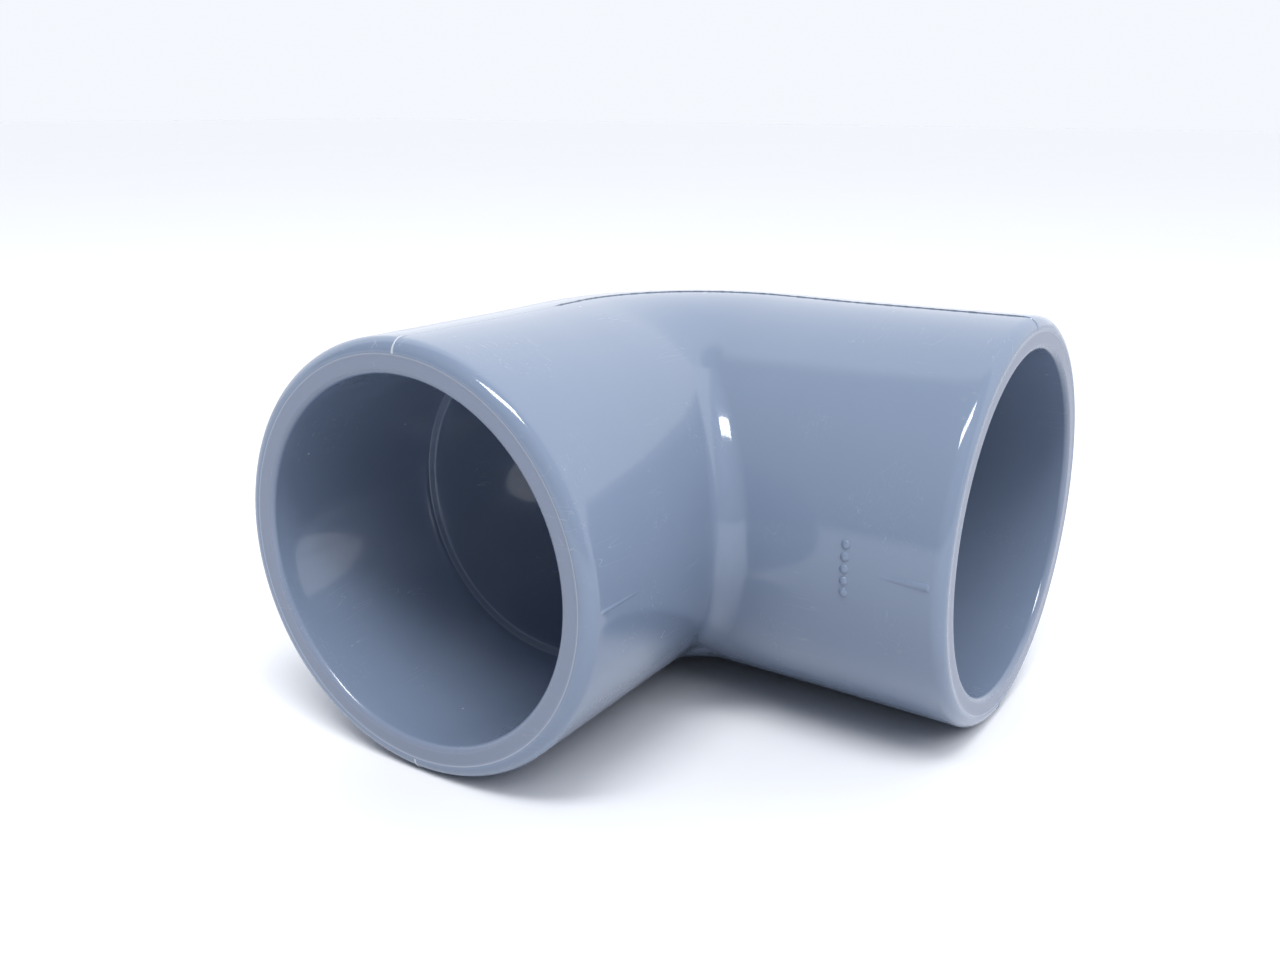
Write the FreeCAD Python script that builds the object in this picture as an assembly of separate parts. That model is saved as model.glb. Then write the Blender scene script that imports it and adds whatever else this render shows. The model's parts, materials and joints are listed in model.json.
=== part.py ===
import FreeCAD, Part
import math
import os

from FreeCAD import Vector

# A 90 degree elbow for solvent-cemented plastic pipe, moulded in one piece: two plain
# sockets, a smooth heel, a plain throat corner and a waterway that turns between two
# pipe stops.
#
# Millimetres, +Z up.  The elbow lies on its side with both pipe axes level.  The front
# socket opens towards -Y and the side socket towards +X.  The origin is the middle of
# the bounding box, on its lowest plane.

# The sockets that the pipes are cemented into
SOCKET_R = 30.2              # bore, halfway down its slight taper, which is left out
SOCKET_DEPTH = 38.1          # mouth face to pipe stop
SOCKET_WALL = 5.65           # thickness of the hub at the mouth face
BORE_EDGE_R = 1.0            # rounding between mouth face and bore

# The outside of the hubs
RIM_R = 2.5                  # rounding between mouth face and hub
HUB_DRAFT = 0.7              # degrees by which a hub narrows towards the bend

# The bend
STOP_CLEARANCE = 5.0         # pipe stop to the other pipe's wall, past the crossing
BEND_R = 27.0                # centreline radius of the heel, inside and out
STOP_STEP = 1.7              # height of the shoulder that stops the pipe

# Marks left by the mould, all of them raised
SEAM_WIDTH = 0.5             # parting line over the crown and under the belly
SEAM_HEIGHT = 0.25
TICK_LENGTH = 9.0            # pointer on the throat side of each hub
TICK_WIDTH = 2.0
TICK_HEIGHT = 0.4
TICK_SETBACK = 2.9           # mouth face to the pointer's thick end
PIP_R = 0.75                 # row of cavity pips on the side hub
PIP_HEIGHT = 0.3
PIP_PITCH = 2.0
PIP_COUNT = 5
PIP_SETBACK = 16.3           # mouth face to the row of pips

OVERLAP = 1.0                # how far joined or cut solids run into each other

UP = Vector(0, 0, 1)
FRONT = Vector(0, -1, 0)     # the way the front socket opens
SIDE = Vector(1, 0, 0)       # the way the side socket opens

# Distances along a pipe axis are from the crossing of the two axes.
HUB_MOUTH_R = SOCKET_R + SOCKET_WALL
WATERWAY_R = SOCKET_R - STOP_STEP
STOP_AT = SOCKET_R + STOP_CLEARANCE
CENTRE_TO_FACE = STOP_AT + SOCKET_DEPTH
DRAFT_SLOPE = math.tan(math.radians(HUB_DRAFT))


def hub_radius(along):
    """Outside radius of a hub at a distance along its axis from the crossing."""
    return HUB_MOUTH_R - (CENTRE_TO_FACE - along) * DRAFT_SLOPE


def on_hub(axis, along, out, height=0.0):
    """A point beside one pipe axis: out is towards the other hub, height is up."""
    other = SIDE if axis is FRONT else FRONT
    return axis * along + other * out + UP * height


def spin(axis, outline):
    """Turn an outline of (along, radius) points and rounding arcs about a pipe axis."""
    edges = []
    for start, *middle, end in outline:
        points = [on_hub(axis, *p) for p in (start, *middle, end)]
        curve = Part.Arc(*points) if middle else Part.LineSegment(*points)
        edges.append(curve.toShape())
    face = Part.Face(Part.Wire(edges))
    return face.revolve(Vector(0, 0, 0), axis, 360)


def rounded(centre, radius, from_deg, to_deg):
    """Start, middle and end of a rounding arc in (along, radius) coordinates."""
    angles = (from_deg, (from_deg + to_deg) / 2, to_deg)
    return [
        (centre[0] + radius * math.cos(math.radians(a)), centre[1] + radius * math.sin(math.radians(a)))
        for a in angles
    ]


def hub_outside(axis):
    """Solid hub from the bend to the mouth face, with its rounded rim."""
    rim_at = CENTRE_TO_FACE - RIM_R
    rim = rounded((rim_at, hub_radius(rim_at) - RIM_R), RIM_R, 90, 0)
    outline = [
        ((BEND_R, 0), (BEND_R, hub_radius(BEND_R))),
        ((BEND_R, hub_radius(BEND_R)), rim[0]),
        rim,
        (rim[2], (CENTRE_TO_FACE, 0)),
        ((CENTRE_TO_FACE, 0), (BEND_R, 0)),
    ]
    return spin(axis, outline)


def socket_cut(axis):
    """What is removed for one socket: bore, rounded mouth edge, pipe stop."""
    edge_at = CENTRE_TO_FACE - BORE_EDGE_R
    edge = rounded((edge_at, SOCKET_R + BORE_EDGE_R), BORE_EDGE_R, -90, 0)
    outer_end = (CENTRE_TO_FACE + OVERLAP, edge[2][1])
    outline = [
        ((STOP_AT, 0), (STOP_AT, SOCKET_R)),
        ((STOP_AT, SOCKET_R), edge[0]),
        edge,
        (edge[2], outer_end),
        (outer_end, (CENTRE_TO_FACE + OVERLAP, 0)),
        ((CENTRE_TO_FACE + OVERLAP, 0), (STOP_AT, 0)),
    ]
    return spin(axis, outline)


def quarter_turn(face):
    """Turn a face that lies where the side hub starts into the whole bend."""
    return face.revolve(SIDE * BEND_R + FRONT * BEND_R, UP, 90)


def bend_core(tube_r):
    """Quarter turn of a tube.

    One that is wider than its centreline's radius is cut off at the turning axis, which
    makes its throat a plain corner.
    """
    if tube_r <= BEND_R:
        ring = Part.makeCircle(tube_r, SIDE * BEND_R, SIDE)
        return quarter_turn(Part.Face(Part.Wire(ring)))
    corner = math.sqrt(tube_r**2 - BEND_R**2)
    high = on_hub(SIDE, BEND_R, BEND_R, corner)
    heel = on_hub(SIDE, BEND_R, -tube_r)
    low = on_hub(SIDE, BEND_R, BEND_R, -corner)
    edges = [Part.Arc(high, heel, low).toShape(), Part.makeLine(low, high)]
    return quarter_turn(Part.Face(Part.Wire(edges)))


def waterway_leg(axis):
    """Straight stretch of waterway from the bend to just past the pipe stop."""
    return Part.makeCylinder(WATERWAY_R, STOP_AT + OVERLAP - BEND_R, axis * BEND_R, axis)


def seam_blades():
    """Thin upright blades along the pipe's path, whose edges stand out as the parting line."""
    bend_high = hub_radius(BEND_R) + SEAM_HEIGHT
    mouth_at = CENTRE_TO_FACE - RIM_R
    mouth_high = hub_radius(mouth_at) + SEAM_HEIGHT
    blades = []
    for axis in (FRONT, SIDE):
        corners = [
            on_hub(axis, BEND_R, -SEAM_WIDTH / 2, -bend_high),
            on_hub(axis, mouth_at, -SEAM_WIDTH / 2, -mouth_high),
            on_hub(axis, mouth_at, -SEAM_WIDTH / 2, mouth_high),
            on_hub(axis, BEND_R, -SEAM_WIDTH / 2, bend_high),
        ]
        face = Part.Face(Part.makePolygon(corners + corners[:1]))
        blades.append(face.extrude(on_hub(axis, 0, SEAM_WIDTH)))
    corners = [
        on_hub(SIDE, BEND_R, out, height)
        for out, height in (
            (-SEAM_WIDTH / 2, -bend_high),
            (SEAM_WIDTH / 2, -bend_high),
            (SEAM_WIDTH / 2, bend_high),
            (-SEAM_WIDTH / 2, bend_high),
        )
    ]
    blades.append(quarter_turn(Part.Face(Part.makePolygon(corners + corners[:1]))))
    return blades


def tick(axis):
    """Pointer on the throat side of a hub: thick by the mouth, fading towards the bend."""
    thick_at = CENTRE_TO_FACE - TICK_SETBACK
    thin_at = thick_at - TICK_LENGTH
    profile = [
        on_hub(axis, thick_at, hub_radius(thick_at) - OVERLAP),
        on_hub(axis, thick_at, hub_radius(thick_at) + TICK_HEIGHT),
        on_hub(axis, thin_at, hub_radius(thin_at)),
        on_hub(axis, thin_at, hub_radius(thin_at) - OVERLAP),
    ]
    blade = Part.Face(Part.makePolygon(profile + profile[:1])).extrude(UP * TICK_WIDTH)
    blade.translate(UP * (-TICK_WIDTH / 2))
    return blade


def cavity_pips():
    """Row of small pips across the throat side of the side hub."""
    along = CENTRE_TO_FACE - PIP_SETBACK
    step = PIP_PITCH / hub_radius(along)
    pips = []
    for index in range(PIP_COUNT):
        angle = step * (index - (PIP_COUNT - 1) / 2)
        out = FRONT * math.cos(angle) + UP * math.sin(angle)
        base = SIDE * along + out * (hub_radius(along) - OVERLAP)
        pips.append(Part.makeCylinder(PIP_R, OVERLAP + PIP_HEIGHT, base, out))
    return pips


def elbow_body():
    """The whole moulding."""
    outside = hub_outside(FRONT).fuse([hub_outside(SIDE), bend_core(hub_radius(BEND_R))])
    outside = outside.fuse([*seam_blades(), tick(FRONT), tick(SIDE), *cavity_pips()])
    hollow = [bend_core(WATERWAY_R)]
    for axis in (FRONT, SIDE):
        hollow.append(waterway_leg(axis))
        hollow.append(socket_cut(axis))
    return outside.cut(hollow).removeSplitter()


def stand(solid):
    """Lay the elbow on Z = 0 with its bounding box centred on the origin."""
    widest = hub_radius(CENTRE_TO_FACE - RIM_R)
    to_middle = (CENTRE_TO_FACE - widest) / 2
    solid.translate((FRONT + SIDE) * -to_middle + UP * (widest + SEAM_HEIGHT))
    return solid


os.makedirs("parts", exist_ok=True)
body = stand(elbow_body())
body.exportStep("parts/elbow_body.step")
print("elbow_body", body.isValid(), len(body.Solids), "solid", round(body.Volume), "mm3")
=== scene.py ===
import json
import math

import bpy
from mathutils import Matrix, Vector


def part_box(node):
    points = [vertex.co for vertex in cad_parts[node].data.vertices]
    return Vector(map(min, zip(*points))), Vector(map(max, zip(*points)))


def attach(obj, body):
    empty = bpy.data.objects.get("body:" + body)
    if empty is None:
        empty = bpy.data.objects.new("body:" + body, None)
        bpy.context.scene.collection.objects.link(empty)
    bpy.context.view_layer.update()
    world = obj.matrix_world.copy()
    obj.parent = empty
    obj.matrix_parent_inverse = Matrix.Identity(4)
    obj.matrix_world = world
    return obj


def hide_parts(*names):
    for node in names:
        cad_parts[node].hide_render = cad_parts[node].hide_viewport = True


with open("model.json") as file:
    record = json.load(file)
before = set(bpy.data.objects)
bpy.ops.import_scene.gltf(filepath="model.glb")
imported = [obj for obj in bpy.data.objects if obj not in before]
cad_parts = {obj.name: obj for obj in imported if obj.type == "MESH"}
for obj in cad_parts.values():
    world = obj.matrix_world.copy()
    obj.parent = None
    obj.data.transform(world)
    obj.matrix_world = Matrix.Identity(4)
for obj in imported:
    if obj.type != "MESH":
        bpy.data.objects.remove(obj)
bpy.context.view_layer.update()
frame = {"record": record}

# A moulded elbow for cemented plastic pipe, lying on its side.  Lengths are in metres.
# Each shape is first made about the crossing of the two pipe axes: x runs out of the
# front socket, y out of the side socket and z up.  It is then put in its place.

MM = 0.001
DEGREE = math.pi / 180

# Sizes of the solid model
sockets = {mount["name"]: mount for mount in frame["record"]["mounts"]}
front_end = sockets["front_socket"]["pos_m"]
side_end = sockets["side_socket"]["pos_m"]
CROSSING = Vector((front_end[0], side_end[1], front_end[2]))
lowest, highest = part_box("elbow_body")
CENTRE_TO_FACE = CROSSING.y - lowest.y
CENTRE_TO_STOP = CROSSING.y - front_end[1]
HUB_R = CROSSING.x - lowest.x  # where the rim's rounding starts
BORE_R = sockets["front_socket"]["dims"]["r_mm"] * MM
WATERWAY_R = BORE_R - 1.7 * MM
BEND_R = 27 * MM
DRAFT = math.tan(0.7 * DEGREE)

# Roundings of the finished moulding; the solid has a plain throat and a slightly wider rim
RIM_R = 2.2 * MM
THROAT_R = 5 * MM
INNER_THROAT_R = 1.3 * MM
LIP = 0.08 * MM  # edge left standing where the rim meets the flat mouth face
LIP_WIDTH = 0.16 * MM
MERGE = 0.001 * MM  # points closer than this are one point

RIM_AT = CENTRE_TO_FACE - RIM_R
NECK_R = (HUB_R - DRAFT * (RIM_AT - THROAT_R)) / (1 - DRAFT)
NECK_END = NECK_R + THROAT_R  # the hubs widen from here to the mouths

scene = bpy.context.scene


class Term:
    """The value of a socket, so that sums of sockets read as plain Python."""

    def __init__(self, web, socket):
        self.web = web
        self.socket = socket

    def __add__(self, other):
        return self.web.math("ADD", self, other)

    __radd__ = __add__

    def __sub__(self, other):
        return self.web.math("SUBTRACT", self, other)

    def __rsub__(self, other):
        return self.web.math("SUBTRACT", other, self)

    def __mul__(self, other):
        return self.web.math("MULTIPLY", self, other)

    __rmul__ = __mul__

    def __truediv__(self, other):
        return self.web.math("DIVIDE", self, other)

    def __pow__(self, other):
        return self.web.math("POWER", self, other)

    def __gt__(self, other):
        return self.web.math("GREATER_THAN", self, other)


class Web:
    """One tree of nodes and the ways to add to it."""

    def __init__(self, tree):
        self.tree = tree

    def node(self, kind, settings=None, inputs=None, out=0):
        made = self.tree.nodes.new(kind)
        for name, value in (settings or {}).items():
            setattr(made, name, value)
        for key, value in (inputs or {}).items():
            for one in value if isinstance(value, list) else [value]:
                if isinstance(one, Term):
                    self.tree.links.new(one.socket, made.inputs[key])
                else:
                    made.inputs[key].default_value = one
        return Term(self, made.outputs[out]) if made.outputs else None

    def math(self, operation, *values):
        return self.node("ShaderNodeMath", {"operation": operation}, dict(enumerate(values)))

    def vector(self, operation, *values, out=0):
        return self.node("ShaderNodeVectorMath", {"operation": operation}, dict(enumerate(values)), out)

    def ramp(self, value, start, width):
        """0 up to start, then rising to 1 over width."""
        return self.node(
            "ShaderNodeMath",
            {"operation": "MULTIPLY_ADD", "use_clamp": True},
            {0: value, 1: 1 / width, 2: -start / width},
        )

    def split(self, vector):
        made = self.node("ShaderNodeSeparateXYZ", {}, {0: vector}).socket.node
        return [Term(self, socket) for socket in made.outputs]

    def join(self, x, y, z):
        return self.node("ShaderNodeCombineXYZ", {}, {0: x, 1: y, 2: z})

    def sin(self, angle):
        return self.math("SINE", angle)

    def cos(self, angle):
        return self.math("COSINE", angle)

    def larger(self, one, other):
        return self.math("MAXIMUM", one, other)

    def blend(self, one, other, share):
        return one + (other - one) * share


SOCKET_KINDS = {int: "NodeSocketInt", float: "NodeSocketFloat", Vector: "NodeSocketVector"}


def grow(name, material, sizes, shape):
    """A mesh made by a tree of geometry nodes that takes the sizes as its named inputs."""
    tree = bpy.data.node_groups.new(name, "GeometryNodeTree")
    tree.interface.new_socket("Geometry", in_out="OUTPUT", socket_type="NodeSocketGeometry")
    keys = {}
    for label, value in sizes.items():
        item = tree.interface.new_socket(label, in_out="INPUT", socket_type=SOCKET_KINDS[type(value)])
        keys[item.identifier] = value
    web = Web(tree)
    given = tree.nodes.new("NodeGroupInput")
    made = shape(web, {label: Term(web, given.outputs[label]) for label in sizes})
    made = web.node("GeometryNodeRealizeInstances", {}, {"Geometry": made})
    x, y, z = web.split(web.node("GeometryNodeInputPosition"))
    place = web.vector("ADD", web.join(y, 0 - x, z), CROSSING)
    made = web.node("GeometryNodeSetPosition", {}, {"Geometry": made, "Position": place})
    made = web.node("GeometryNodeSetShadeSmooth", {}, {"Geometry": made})
    made = web.node("GeometryNodeSetMaterial", {}, {"Geometry": made, "Material": material})
    web.node("NodeGroupOutput", {}, {"Geometry": made})

    piece = bpy.data.objects.new(name, bpy.data.meshes.new(name))
    scene.collection.objects.link(piece)
    modifier = piece.modifiers.new(name, "NODES")
    modifier.node_group = tree
    for key, value in keys.items():
        modifier[key] = value
    graph = bpy.context.evaluated_depsgraph_get()
    finished = bpy.data.meshes.new_from_object(piece.evaluated_get(graph))
    piece.modifiers.clear()
    piece.data = finished
    finished.name = name
    return piece


def grid(web, columns, rows):
    """A grid and its column and row numbers; rows are counted from the middle one."""
    made = web.node(
        "GeometryNodeMeshGrid",
        {},
        {"Size X": columns, "Size Y": rows, "Vertices X": columns + 1, "Vertices Y": rows + 1},
    )
    x, y, _ = web.split(web.node("GeometryNodeInputPosition"))
    return made, x + columns / 2, y


def swapped(web, shape):
    """The shape mirrored from one pipe axis to the other, with its faces turned back."""
    x, y, z = web.split(web.node("GeometryNodeInputPosition"))
    made = web.node("GeometryNodeSetPosition", {}, {"Geometry": shape, "Position": web.join(y, x, z)})
    return web.node("GeometryNodeFlipFaces", {}, {"Mesh": made})


def neck_radius(web, size):
    """Radius of the bend, where the hubs' draft has run out, and its reach to the throat ball."""
    draft = size["Draft"]
    start = size["Centre to face"] - size["Rim radius"] - size["Throat radius"]
    neck = (size["Hub radius"] - draft * start) / (1 - draft)
    return neck, neck + size["Throat radius"]


# Columns of one half of the body, from the middle of the bend's outside, over the hub and
# the mouth, down the socket and back to the middle of the bend's inside.
SPANS = {
    "bend": 18,
    "hub": 18,
    "rim": 9,
    "lip": 1,
    "face": 3,
    "edge": 6,
    "bore": 12,
    "corner": 3,
    "step": 1,
    "brim": 4,
    "leg": 4,
    "turn": 14,
}
THROAT_ROWS = 32
CAP_ROWS = 4
HEEL_ROWS = 84
WEAR_FALLOFF = 24  # the higher, the closer the wear keeps to the rim


def body_shape(web, size):
    """Both hubs and the bend, outside and inside, as one closed skin."""
    columns = sum(SPANS.values())
    rows = THROAT_ROWS + CAP_ROWS + HEEL_ROWS
    skin, column, row = grid(web, columns, 2 * rows)
    part, start = {}, 0
    for name, width in SPANS.items():
        part[name] = web.ramp(column, start, width)
        start += width

    neck, neck_end = neck_radius(web, size)
    inner = part["face"]
    tube = web.blend(neck, size["Waterway radius"], inner)
    ball = web.blend(size["Throat radius"], size["Inner throat radius"], inner)
    bend = size["Bend radius"]
    reach = tube + ball

    # Angle round the pipe axis from the throat.  A ball rolls in the throat as far as
    # "leave", where it meets the turning axis of the bend.
    steps = web.math("ABSOLUTE", row)
    leave = web.math("ARCCOSINE", bend / reach)
    angle = leave * web.ramp(steps, 0, THROAT_ROWS)
    angle = angle + (math.pi - leave) * web.ramp(steps, THROAT_ROWS + CAP_ROWS, HEEL_ROWS)
    cosine = web.cos(angle)
    sine = web.sin(angle) * web.math("SIGN", row)
    cap = web.ramp(steps, THROAT_ROWS, CAP_ROWS)
    heel = steps > rows - HEEL_ROWS - 0.5

    # Along one hub and down its socket: distance from the crossing, and radius
    neck_stop = web.larger(bend, reach * cosine)
    rim_at = size["Centre to face"] - size["Rim radius"]
    outside_stop = web.blend(neck_stop, rim_at, part["hub"])
    along = outside_stop
    radius = neck + size["Draft"] * web.larger(outside_stop - neck_end, 0)

    def quarter(name):
        turn = part[name] * (math.pi / 2)
        return web.sin(turn), 1 - web.cos(turn)

    rise, sag = quarter("rim")
    along = along + size["Rim radius"] * rise
    radius = radius - size["Rim radius"] * sag
    along = along - size["Lip"] * part["lip"]
    radius = radius - size["Lip width"] * part["lip"]
    flat = size["Hub radius"] - size["Rim radius"] - size["Lip width"] - size["Bore radius"]
    radius = radius - (flat - size["Mouth edge"]) * part["face"]
    rise, sag = quarter("edge")
    along = along - size["Mouth edge"] * sag
    radius = radius - size["Mouth edge"] * rise
    down = size["Centre to face"] - size["Lip"] - size["Mouth edge"] - size["Centre to stop"]
    along = along - (down - size["Stop corner"]) * part["bore"]
    rise, sag = quarter("corner")
    along = along - size["Stop corner"] * rise
    radius = radius - size["Stop corner"] * sag
    shoulder = size["Bore radius"] - size["Waterway radius"]
    radius = radius - (shoulder - size["Stop corner"] - size["Stop edge"]) * part["step"]
    rise, sag = quarter("brim")
    along = along - size["Stop edge"] * sag
    radius = radius - size["Stop edge"] * rise
    way_start = size["Centre to stop"] - size["Stop edge"]
    along = along - (way_start - neck_stop) * part["leg"]

    # Round the bend: on the rolling ball near the throat, else on a plain quarter turn
    turned = 1 - part["bend"] + part["turn"]
    swing = turned * (math.pi / 4)
    spread = web.math("ARCCOSINE", sine * sine)
    near = web.sin((1 - turned * 0.5) * spread) / web.sin(spread)
    far = web.sin(turned * 0.5 * spread) / web.sin(spread)
    ball_x = web.blend(far * cosine, web.sin(swing) * cosine, cap)
    ball_y = web.blend(near * cosine, web.cos(swing) * cosine, cap)
    ball_z = web.blend((near + far) * sine, sine, cap)
    length = web.math("SQRT", ball_x * ball_x + ball_y * ball_y + ball_z * ball_z)
    press = ball / length
    swept = bend - tube * cosine
    bend_x = web.blend(reach * cosine - press * ball_x, bend - swept * web.sin(swing), heel)
    bend_y = web.blend(reach * cosine - press * ball_y, bend - swept * web.cos(swing), heel)
    bend_z = web.blend(reach * sine - press * ball_z, tube * sine, heel)

    in_bend = swing > 1e-5
    place = web.join(
        web.blend(along, bend_x, in_bend),
        web.blend(radius * cosine, bend_y, in_bend),
        web.blend(radius * sine, bend_z, in_bend),
    )
    marks = {
        "mouth_face": part["lip"] * (1 - part["edge"]),
        "rim": part["hub"] ** WEAR_FALLOFF * (1 - part["lip"]),
        # Painted highlight: this mark carries a lighter line round the edge of the mouth face
        "lip": part["lip"] * (1 - web.ramp(part["face"], 0, 0.3)),
    }
    for name, value in marks.items():
        marked = {"Geometry": skin, "Name": name, "Value": value}
        skin = web.node("GeometryNodeStoreNamedAttribute", {}, marked)
    skin = web.node("GeometryNodeSetPosition", {}, {"Geometry": skin, "Position": place})
    skin = web.node("GeometryNodeFlipFaces", {}, {"Mesh": skin})
    both = web.node("GeometryNodeJoinGeometry", {}, {"Geometry": [skin, swapped(web, skin)]})
    return web.node("GeometryNodeMergeByDistance", {}, {"Geometry": both, "Distance": MERGE})


SEAM_RIM = 10
SEAM_HUB = 150
SEAM_BEND = 80
SEAM_ACROSS = 3
SEAM_START = 19  # columns of the front hub that still have the dark line of painted shade
SEAM_NOTCH = 4  # columns of the painted shade that darkens the notch at the front rim


def seam_shape(web, size):
    """Low, uneven ridge along the pipe's path, over the crown and under the belly."""
    half = SEAM_RIM + SEAM_HUB + SEAM_BEND
    strip, column, row = grid(web, 2 * half, 2 * SEAM_ACROSS)
    away = column - half
    steps = web.math("ABSOLUTE", away)
    side = away > 0
    across = row / SEAM_ACROSS
    bend = size["Bend radius"]
    neck, neck_end = neck_radius(web, size)

    swing = (1 + web.math("SIGN", away) * web.ramp(steps, 0, SEAM_BEND)) * (math.pi / 4)
    rim_at = size["Centre to face"] - size["Rim radius"]
    along = web.blend(bend, rim_at, web.ramp(steps, SEAM_BEND, SEAM_HUB))
    radius = neck + size["Draft"] * web.larger(along - neck_end, 0)
    tip = web.ramp(steps, SEAM_BEND + SEAM_HUB, SEAM_RIM) * (math.pi / 2)
    along = along + size["Rim radius"] * web.sin(tip)
    radius = radius - size["Rim radius"] * (1 - web.cos(tip))

    def uneven(scale, offset):
        settings = {"noise_dimensions": "1D"}
        where = (away + offset) * scale + size["Seed"]
        return web.node("ShaderNodeTexNoise", settings, {"W": where, "Detail": 2.0})

    swell = web.ramp(uneven(0.035, 0), 0.30, 0.4)
    jag = web.ramp(uneven(0.6, 400), 0.2, 0.6)
    trimmed = web.ramp(0 - away, SEAM_BEND + SEAM_START, 5)
    on_rim = web.ramp(steps, SEAM_BEND + SEAM_HUB - 1, 1)
    high = size["Height"] * (0.65 + 0.35 * swell) * (0.8 + 0.2 * jag) * (0.4 + 0.6 * web.cos(tip))
    lift = high * (1 - across * across) * (1 - 0.8 * trimmed * (1 - on_rim)) - size["Sink"]
    along = along + lift * web.sin(tip)
    radius = radius + lift * web.cos(tip)
    wander = size["Width"] * 0.12 * (uneven(0.12, 900) - 0.5)
    wide = size["Width"] * 0.5 * (0.6 + 0.4 * swell) * across + wander
    x = bend - bend * web.sin(swing) + (along - bend) * (1 - side) + wide * web.sin(swing)
    y = bend - bend * web.cos(swing) + (along - bend) * side + wide * web.cos(swing)

    # Painted shade: a dark line along the ridge stands for its shadow and fades down the front hub; a
    # darker painted notch sits at the front rim
    painted_seam_shade = (web.ramp(uneven(0.05, 1300), 0.35, 0.3) * 0.4 + 0.6) * (1 - across * across * 0.6)
    notch = trimmed * web.ramp(steps, SEAM_BEND + SEAM_HUB - SEAM_NOTCH, 1)
    painted_seam_shade = (painted_seam_shade * (1 - 0.85 * trimmed) + 0.7 * notch) * (1 - on_rim)
    # Whitish line where the seam crosses the front rim: partly a scratch's own pale colour, partly a
    # painted highlight of the ridge
    scratch_and_highlight = on_rim * trimmed * (1 - across * across)
    for name, value in {"painted_seam_shade": painted_seam_shade, "scratch_and_highlight": scratch_and_highlight}.items():
        marked = {"Geometry": strip, "Name": name, "Value": value}
        strip = web.node("GeometryNodeStoreNamedAttribute", {}, marked)
    crown = web.node("GeometryNodeSetPosition", {}, {"Geometry": strip, "Position": web.join(x, y, radius)})
    x, y, z = web.split(web.node("GeometryNodeInputPosition"))
    belly = web.node("GeometryNodeSetPosition", {}, {"Geometry": crown, "Position": web.join(x, y, 0 - z)})
    belly = web.node("GeometryNodeFlipFaces", {}, {"Mesh": belly})
    return web.node("GeometryNodeJoinGeometry", {}, {"Geometry": [crown, belly]})


def pip_shape(web, size):
    """Row of low domes across the throat side of the side hub."""
    along = size["Centre to face"] - size["Setback"]
    neck, neck_end = neck_radius(web, size)
    radius = neck + size["Draft"] * (along - neck_end)
    line = web.node("GeometryNodeMeshLine", {}, {"Count": size["Count"]})
    number = web.node("GeometryNodeInputIndex") - (size["Count"] - 1) * 0.5
    angle = number * size["Pitch"] / radius
    outwards = web.join(web.cos(angle), 0, web.sin(angle))
    place = web.join(radius * web.cos(angle), along, radius * web.sin(angle))
    line = web.node("GeometryNodeSetPosition", {}, {"Geometry": line, "Position": place})
    dome = web.node("GeometryNodeMeshUVSphere", {}, {"Segments": 28, "Rings": 14, "Radius": 1.0})
    turn = web.node("FunctionNodeAlignRotationToVector", {"axis": "Z"}, {"Vector": outwards})
    scale = web.join(size["Pip radius"], size["Pip radius"], size["Pip height"])
    return web.node(
        "GeometryNodeInstanceOnPoints",
        {},
        {"Points": line, "Instance": dome, "Rotation": turn, "Scale": scale},
    )


def hub_radius(along):
    return NECK_R + DRAFT * max(along - NECK_END, 0)


POINTER_SETBACK = 0.1 * MM  # from the rim's rounding to the thick end
POINTER_END_R = 0.35 * MM
POINTER_SINK = 0.01 * MM


def pointer(name, material, side, length, height, width):
    """Raised pointer on the throat side of a hub: thick by the mouth, fading inwards."""
    columns, rows = 60, 16
    thick_at = CENTRE_TO_FACE - RIM_R - POINTER_SETBACK
    points, faces = [], []
    for i in range(columns + 1):
        share = i / columns
        along = thick_at - length * share
        blunt = min(share * length / POINTER_END_R, 1)
        ridge = height * (1 - share) ** 1.3 * math.sin(blunt * math.pi / 2)
        half_width = width / 2 * (1 - 0.7 * max(share - 0.3, 0))
        for j in range(rows + 1):
            across = 2 * j / rows - 1
            lift = ridge * (1 - across * across) - POINTER_SINK
            out = hub_radius(along) + lift
            turn = half_width * across / out
            point = Vector((along, out * math.cos(turn), out * math.sin(turn)))
            if side:
                point.x, point.y = point.y, point.x
            points.append(CROSSING + Vector((point.y, -point.x, point.z)))
    for i in range(columns):
        for j in range(rows):
            corner = i * (rows + 1) + j
            ring = [corner, corner + 1, corner + rows + 2, corner + rows + 1]
            faces.append(ring if side else ring[::-1])
    mesh = bpy.data.meshes.new(name)
    mesh.from_pydata(points, [], faces)
    mesh.shade_smooth()
    mesh.materials.append(material)
    piece = bpy.data.objects.new(name, mesh)
    scene.collection.objects.link(piece)
    return piece


def new_material(name):
    material = bpy.data.materials.new(name)
    material.use_nodes = True
    material.node_tree.nodes.clear()
    return material, Web(material.node_tree)


def noise(web, where, scale, detail=2.0, roughness=0.5):
    inputs = {"Vector": where, "Scale": scale, "Detail": detail, "Roughness": roughness}
    return web.node("ShaderNodeTexNoise", {}, inputs)


def stretched(web, where, turn, scale):
    return web.node("ShaderNodeMapping", {}, {"Vector": where, "Rotation": turn, "Scale": scale})


def mix(web, share, one, other):
    return web.node("ShaderNodeMix", {"data_type": "RGBA"}, {0: share, 6: one, 7: other}, out=2)


def mark(web, name):
    return web.node("ShaderNodeAttribute", {"attribute_name": name}, out="Fac")


def bump(web, height, distance, strength=1.0, normal=None):
    inputs = {"Strength": strength, "Distance": distance, "Height": height}
    if normal:
        inputs["Normal"] = normal
    return web.node("ShaderNodeBump", {}, inputs)


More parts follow.
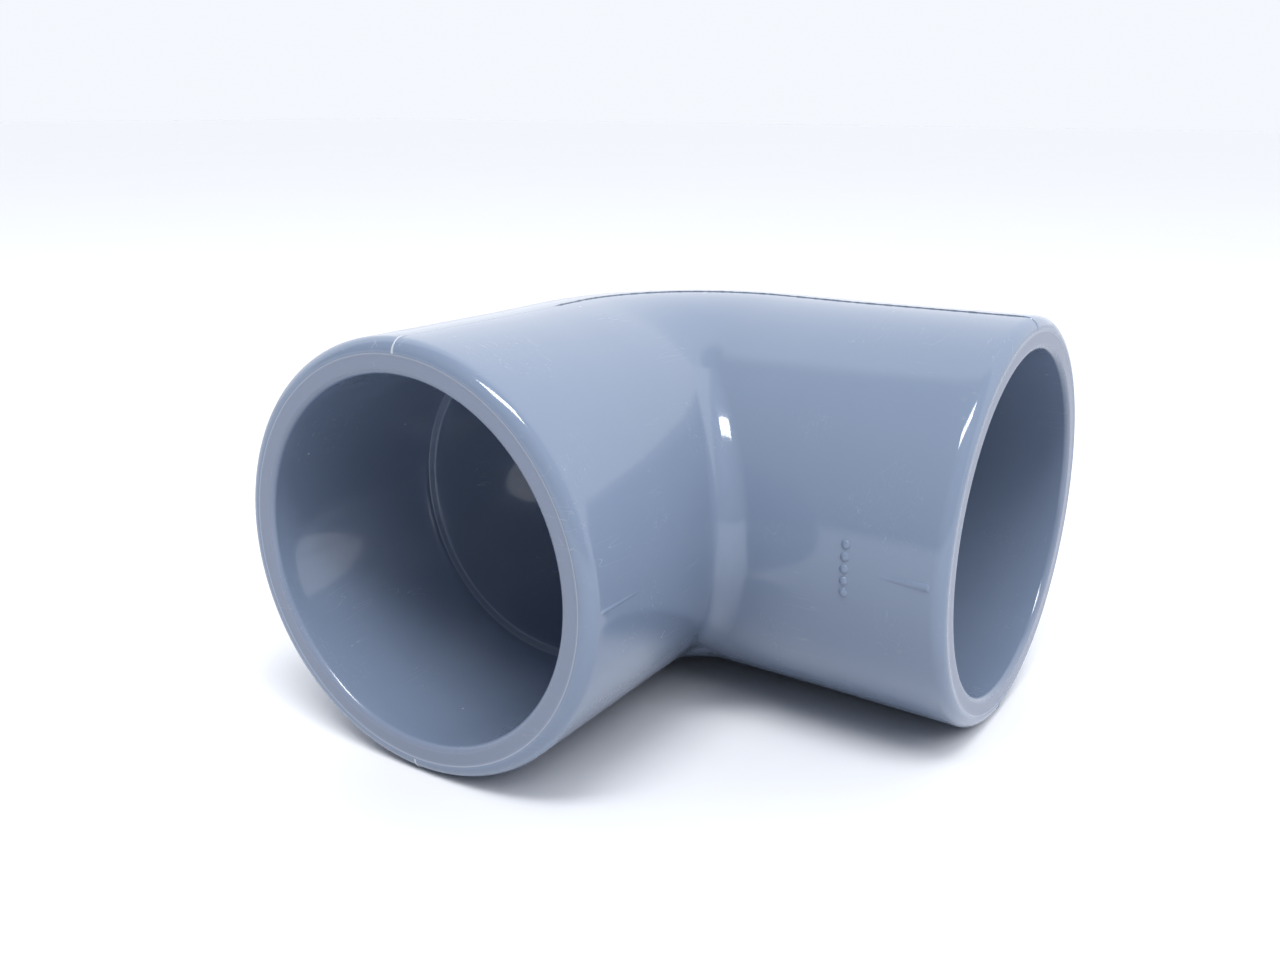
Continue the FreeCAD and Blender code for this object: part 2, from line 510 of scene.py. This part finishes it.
def plastic(name, paint_seam_shade=False):
    """Glossy grey-blue moulded plastic with handling marks; the mouth faces are duller."""
    material, web = new_material(name)
    where = web.node("ShaderNodeTexCoord", out="Object")
    cloud = noise(web, where, 32, 3.0)
    grain = noise(web, where, 1500, 2.0)
    flow = noise(web, stretched(web, where, (0.2, 0.5, 0.3), (25, 140, 60)), 1.0, 3.0)
    face = mark(web, "mouth_face")

    # Fine hairlines in a few patches, where the part has been handled
    def hairlines(turn, scale, patch_scale):
        wander = noise(web, stretched(web, where, turn, scale), 1.0, 1.0, 0.4)
        line = 1 - web.ramp(web.math("ABSOLUTE", wander - 0.5), 0.0, 0.006)
        patch = web.ramp(noise(web, where, patch_scale, 1.0), 0.56, 0.08)
        return line * patch

    scratch = hairlines((0.3, 0.2, 0.9), (40, 900, 500), 60)
    scratch = web.larger(scratch, hairlines((1.1, 0.4, 0.2), (800, 60, 420), 75))
    cells = {"Vector": where, "Scale": 260.0, "Randomness": 1.0}
    dust = web.node("ShaderNodeTexVoronoi", {}, cells)
    red, _, _ = web.split(web.node("ShaderNodeTexVoronoi", {}, cells, out="Color"))
    speck = (1 - web.ramp(dust, 0.03, 0.04)) * (red > 0.93)
    worn = web.ramp(noise(web, where, 420, 3.0, 0.6), 0.64, 0.12) * mark(web, "rim")

    body = mix(web, cloud, (0.180, 0.225, 0.310, 1), (0.198, 0.246, 0.335, 1))
    body = mix(web, 0.10 * flow, body, (0.27, 0.32, 0.41, 1))
    body = mix(web, face * 0.75, body, (0.205, 0.232, 0.304, 1))
    body = mix(web, web.larger(scratch * 0.18, worn * 0.08), body, (0.48, 0.52, 0.58, 1))
    # Painted highlight: a lighter line along the lip where the rim meets the mouth face
    body = mix(web, 0.55 * mark(web, "lip") ** 6, body, (0.50, 0.54, 0.62, 1))
    body = mix(web, speck * 0.45, body, (0.70, 0.72, 0.74, 1))
    if paint_seam_shade:
        # Painted shade: the seam's dark line and the dark notch at the front rim
        body = mix(web, mark(web, "painted_seam_shade"), body, (0.055, 0.062, 0.078, 1))
        # Whitish seam line on the front rim: partly a pale scratch, partly a painted highlight
        body = mix(web, 0.7 * mark(web, "scratch_and_highlight"), body, (0.62, 0.64, 0.67, 1))

    roughness = 0.075 + 0.03 * cloud + 0.02 * grain + 0.20 * face
    roughness = roughness + 0.25 * web.larger(scratch, worn) + 0.2 * speck
    normal = bump(web, noise(web, where, 55, 2.0), 0.16 * MM, 0.5)
    normal = bump(web, grain, 0.006 * MM, 0.6, normal)
    normal = bump(web, 1 - scratch, 0.01 * MM, 0.5, normal)
    shader = web.node(
        "ShaderNodeBsdfPrincipled",
        {},
        {
            "Base Color": body,
            "Roughness": roughness,
            "Normal": normal,
            "IOR": 1.52,
            "Coat Weight": 0.25 - 0.2 * face,
            "Coat Roughness": 0.04,
        },
    )
    web.node("ShaderNodeOutputMaterial", {}, {"Surface": shader})
    return material


def floor_paint():
    """Pale board with a faint mottle."""
    material, web = new_material("pale_board")
    where = web.node("ShaderNodeTexCoord", out="Object")
    cloud = noise(web, where, 6, 4.0, 0.6)
    shade = mix(web, cloud, (0.75, 0.76, 0.785, 1), (0.78, 0.79, 0.815, 1))
    normal = bump(web, noise(web, where, 400, 2.0), 0.05 * MM, 0.3)
    shader = web.node(
        "ShaderNodeBsdfPrincipled",
        {},
        {"Base Color": shade, "Roughness": 0.55 + 0.1 * cloud, "Normal": normal},
    )
    web.node("ShaderNodeOutputMaterial", {}, {"Surface": shader})
    return material


# The moulding and its marks
grey_plastic = plastic("grey_plastic")
seam_plastic = plastic("grey_plastic_seam", paint_seam_shade=True)

hub_sizes = {
    "Centre to face": CENTRE_TO_FACE,
    "Hub radius": HUB_R,
    "Rim radius": RIM_R,
    "Draft": DRAFT,
    "Bend radius": BEND_R,
    "Throat radius": THROAT_R,
}
socket_sizes = {
    "Centre to stop": CENTRE_TO_STOP,
    "Bore radius": BORE_R,
    "Waterway radius": WATERWAY_R,
    "Inner throat radius": INNER_THROAT_R,
    "Mouth edge": 1.0 * MM,
    "Lip": LIP,
    "Lip width": LIP_WIDTH,
    "Stop corner": 0.3 * MM,
    "Stop edge": 0.4 * MM,
}
elbow = grow("elbow_body_moulding", grey_plastic, {**hub_sizes, **socket_sizes}, body_shape)
seam_sizes = {"Width": 0.62 * MM, "Height": 0.24 * MM, "Sink": 0.02 * MM, "Seed": 3.7}
seam = grow("parting_line", seam_plastic, {**hub_sizes, **seam_sizes}, seam_shape)
pip_sizes = {
    "Setback": 16.3 * MM,
    "Pitch": 2.0 * MM,
    "Pip radius": 0.75 * MM,
    "Pip height": 0.3 * MM,
    "Count": 5,
}
pips = grow("cavity_pips", grey_plastic, {**hub_sizes, **pip_sizes}, pip_shape)
side_pointer = pointer("side_pointer", grey_plastic, True, 9 * MM, 0.38 * MM, 1.3 * MM)
front_pointer = pointer("front_pointer", grey_plastic, False, 12 * MM, 0.2 * MM, 0.7 * MM)

for piece in (elbow, seam, pips, side_pointer, front_pointer):
    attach(piece, "root")
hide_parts("elbow_body")

# Floor, light and camera
floor_mesh = bpy.data.meshes.new("floor")
reach = 6.0
corners = [(-reach, -reach, 0), (reach, -reach, 0), (reach, reach, 0), (-reach, reach, 0)]
floor_mesh.from_pydata(corners, [], [(0, 1, 2, 3)])
floor_mesh.materials.append(floor_paint())
floor = bpy.data.objects.new("floor", floor_mesh)
scene.collection.objects.link(floor)


def surroundings():
    """Bright white behind and above, and a dimmer room in front; seen directly it is pale."""
    world = bpy.data.worlds.new("white_tent")
    world.use_nodes = True
    world.node_tree.nodes.clear()
    web = Web(world.node_tree)
    way = web.node("ShaderNodeTexCoord", out="Generated")
    room_way = Vector((math.sin(15 * DEGREE), -math.cos(15 * DEGREE), math.tan(20 * DEGREE)))
    facing = web.vector("DOT_PRODUCT", way, room_way.normalized(), out="Value")
    room = web.ramp(facing, 0.13, 0.12)
    light = mix(web, room, (1.00, 1.02, 1.06, 1), (0.36, 0.37, 0.39, 1))
    seen = web.node("ShaderNodeLightPath", out="Is Camera Ray")
    colour = mix(web, seen, light, (0.765, 0.785, 0.825, 1))
    background = web.node("ShaderNodeBackground", {}, {"Color": colour})
    web.node("ShaderNodeOutputWorld", {}, {"Surface": background})
    return world


scene.world = surroundings()


def soft_light(name, place, aim, width, height, power, roll=0):
    light = bpy.data.lights.new(name, "AREA")
    light.shape = "RECTANGLE"
    light.size = width
    light.size_y = height
    light.energy = power
    lamp = bpy.data.objects.new(name, light)
    scene.collection.objects.link(lamp)
    lamp.location = place
    facing = (Vector(aim) - Vector(place)).to_track_quat("-Z", "Y").to_matrix()
    lamp.rotation_euler = (facing @ Matrix.Rotation(roll, 3, "Z")).to_euler()


soft_light("overhead_light", (0.165, -0.383, 0.925), (0, 0, 0.05), 0.55, 0.20, 5.2, 20 * DEGREE)
# Soft light from the right, which only fills and leaves no highlight
side_fill = bpy.data.lights.new("side_fill", "SUN")
side_fill.energy = 1.2
side_fill.angle = 35 * DEGREE
fill = bpy.data.objects.new("side_fill", side_fill)
scene.collection.objects.link(fill)
fill.rotation_euler = Vector((-0.60, 0.32, -0.80)).to_track_quat("-Z", "Y").to_euler()
fill.visible_glossy = False

CAMERA_FROM_CROSSING = Vector((0.1272, -0.1996, 0.0689))
CAMERA_FORWARD = Vector((-0.526, 0.797, -0.297))
CAMERA_ROLL = 0.3 * DEGREE

camera = bpy.data.cameras.new("camera")
camera.lens = 34.05
camera.sensor_width = 36
camera.clip_start = 0.01
eye = bpy.data.objects.new("camera", camera)
scene.collection.objects.link(eye)
turn = CAMERA_FORWARD.to_track_quat("-Z", "Y").to_matrix()
turn = turn @ Matrix.Rotation(CAMERA_ROLL, 3, "Z")
eye.matrix_world = Matrix.Translation(CROSSING + CAMERA_FROM_CROSSING) @ turn.to_4x4()
scene.camera = eye
scene.view_settings.view_transform = "Standard"
scene.view_settings.look = "Medium High Contrast"
